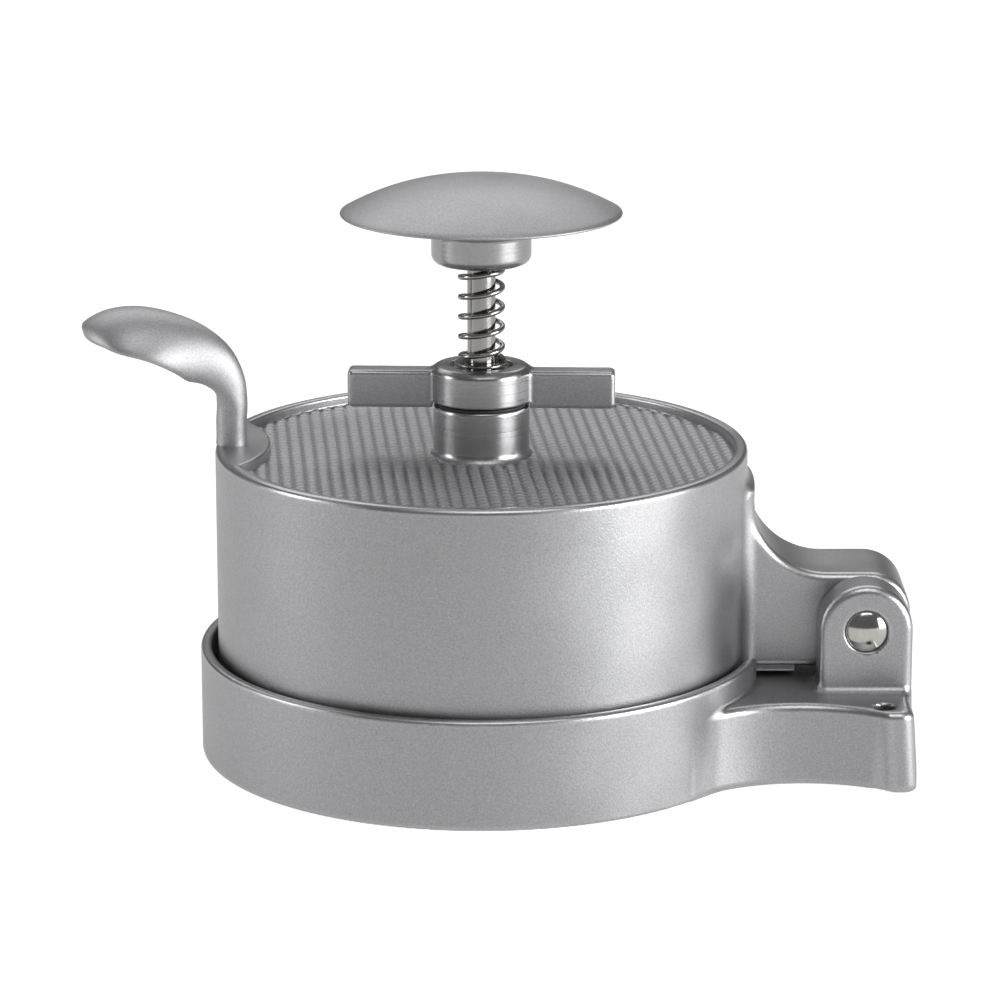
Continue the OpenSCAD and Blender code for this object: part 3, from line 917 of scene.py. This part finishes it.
def make_plunger():
    plate = cast("press_plate_casting", plate_field, plate_low, plate_high, 0.7)
    finish_piece(plate, "plunger", "cast_aluminium", cast_metal, "press_plate")
    grid = waffle("press_plate_waffle", PATTY_WAFFLE_R, plate_low[2] + 0.6, PATTY_WAFFLE_PEAK, 1.2, facing=-1)
    finish_piece(grid, "plunger", "cast_aluminium", rough_metal, "press_plate")
    low, high = node_box("plunger_rod")
    rod = [(0, low[2], 0), (ROD_R, low[2], 0.4), (ROD_R, high[2], 0.3), (0, high[2], 0)]
    piece = lathe("plunger_shaft", outline(rod), 96)
    finish_piece(piece, "plunger", "polished_steel", shaded_rod_steel, "plunger_rod")


def ring_washer(name, node, body, slot_name, material, bore, soft=0.12):
    """A flat ring the size of its CAD node, with its edges softened to that radius."""
    low, high = node_box(node)
    outer = high[0]
    section = [(bore, low[2], soft), (outer, low[2], soft), (outer, high[2], soft), (bore, high[2], soft)]
    piece = lathe(name, outline(section, 3), 112)
    finish_piece(piece, body, slot_name, material, node)


def make_washers():
    ring_washer("neck_washer", "friction_washer", "housing", "black_nylon", nylon, 7.3)
    ring_washer("spring_seat_low", "lower_spring_washer", "spring_carrier", "polished_steel", shaded_coil_steel, 3.5)
    ring_washer("spring_seat_high", "upper_spring_washer", "spring_seat", "polished_steel", shaded_coil_steel, 3.25)
    ring_washer("thickness_stop", "stop_collar", "adjuster", "screw_steel", zinc_steel, SLEEVE_R, 0.5)


def dress_cad_nodes():
    """CAD pieces whose shape is right keep it, and take a finish."""
    finishes = {"hinge_pin_clip": pin_steel, "hinge_washers": nylon, "lever_stud": zinc_steel,
                "adjuster_grub_screw": zinc_steel, "knob_grub_screw": zinc_steel, "plate_screw": zinc_steel}
    for node, material in finishes.items():
        mesh = frame["nodes"][node].data
        mesh.materials.clear()
        mesh.materials.append(material)


make_base()
make_housing()
make_hinge()
make_lever()
make_adjuster()
make_spring()
make_knob()
make_plunger()
make_washers()
dress_cad_nodes()


# ---------------------------------------------------------------- stage, in metres

FLOOR_HALF = 6.0
FLOOR_TONE = 0.3
FLOOR_GLOW = 0.54
FLOOR_SEEN = 0.9
ROOM_GLOW = 0.14
ROOM_SEEN = 1.0

CAMERA_PLACE = (-0.0009, -0.9336, 0.3018)
CAMERA_AIM = (0.0042, 0.0, 0.0577)
CAMERA_LENS = 152.1

LIGHTS_AIM = (0, 0, 0.05)
LIGHTS = [
    # name, place, width and height, power in watts
    ("right", (1.0, -0.45, 0.26), (0.7, 0.55), 13),
    ("left", (-1.05, -0.12, 0.3), (0.3, 0.5), 2.8),
    ("overhead", (-0.15, 0.75, 1.05), (1.6, 1.0), 7.0),
    ("front", (0.15, -0.75, 1.4), (1.0, 0.8), 6),
]


def glow_as_seen(nodes, links, lit, seen, strength):
    """Sets a strength to one value for the light it gives, and another where it is looked at directly."""
    ray = nodes.new("ShaderNodeLightPath")
    links.new(spread(nodes, links, ray.outputs["Is Camera Ray"], (0, 1), (lit, seen)), strength)


def make_floor():
    """Pale paper: white where it is looked at, and dimmer in the metal's reflections."""
    half = FLOOR_HALF
    mesh = bpy.data.meshes.new("floor")
    corners = [(-half, -half, 0), (half, -half, 0), (half, half, 0), (-half, half, 0)]
    mesh.from_pydata(corners, [], [(0, 1, 2, 3)])
    floor = bpy.data.objects.new("floor", mesh)
    bpy.context.scene.collection.objects.link(floor)
    material, nodes, links, shader = new_material("floor_paper", 0.9, metallic=0.0)
    shader.inputs["Base Color"].default_value = (FLOOR_TONE, FLOOR_TONE, FLOOR_TONE, 1)
    shader.inputs["Emission Color"].default_value = (1, 1, 1, 1)
    glow_as_seen(nodes, links, FLOOR_GLOW, FLOOR_SEEN, shader.inputs["Emission Strength"])
    mesh.materials.append(material)


def make_world():
    """A dim room: white where it is seen behind the press, dark in its reflections."""
    world = bpy.data.worlds.new("studio")
    bpy.context.scene.world = world
    world.use_nodes = True
    nodes = world.node_tree.nodes
    links = world.node_tree.links
    background = nodes["Background"]
    background.inputs["Color"].default_value = (1, 1, 1, 1)
    glow_as_seen(nodes, links, ROOM_GLOW, ROOM_SEEN, background.inputs["Strength"])


def softbox(name, place, size, power):
    light = bpy.data.lights.new(name, "AREA")
    light.shape = "RECTANGLE"
    light.size, light.size_y = size
    light.energy = power
    lamp = bpy.data.objects.new(name, light)
    bpy.context.scene.collection.objects.link(lamp)
    lamp.location = place
    way = Vector(LIGHTS_AIM) - Vector(place)
    lamp.rotation_euler = way.to_track_quat("-Z", "Y").to_euler()


def make_camera():
    data = bpy.data.cameras.new("camera")
    data.lens = CAMERA_LENS
    data.sensor_width = 36.0
    camera = bpy.data.objects.new("camera", data)
    bpy.context.scene.collection.objects.link(camera)
    place = Vector(CAMERA_PLACE)
    way = Vector(CAMERA_AIM) - place
    camera.location = place
    camera.rotation_mode = "QUATERNION"
    camera.rotation_quaternion = way.to_track_quat("-Z", "Y")
    data.clip_start = 0.05
    data.clip_end = 50
    bpy.context.scene.camera = camera


make_floor()
make_world()
for light in LIGHTS:
    softbox(*light)
make_camera()
bpy.context.scene.view_settings.view_transform = "Standard"
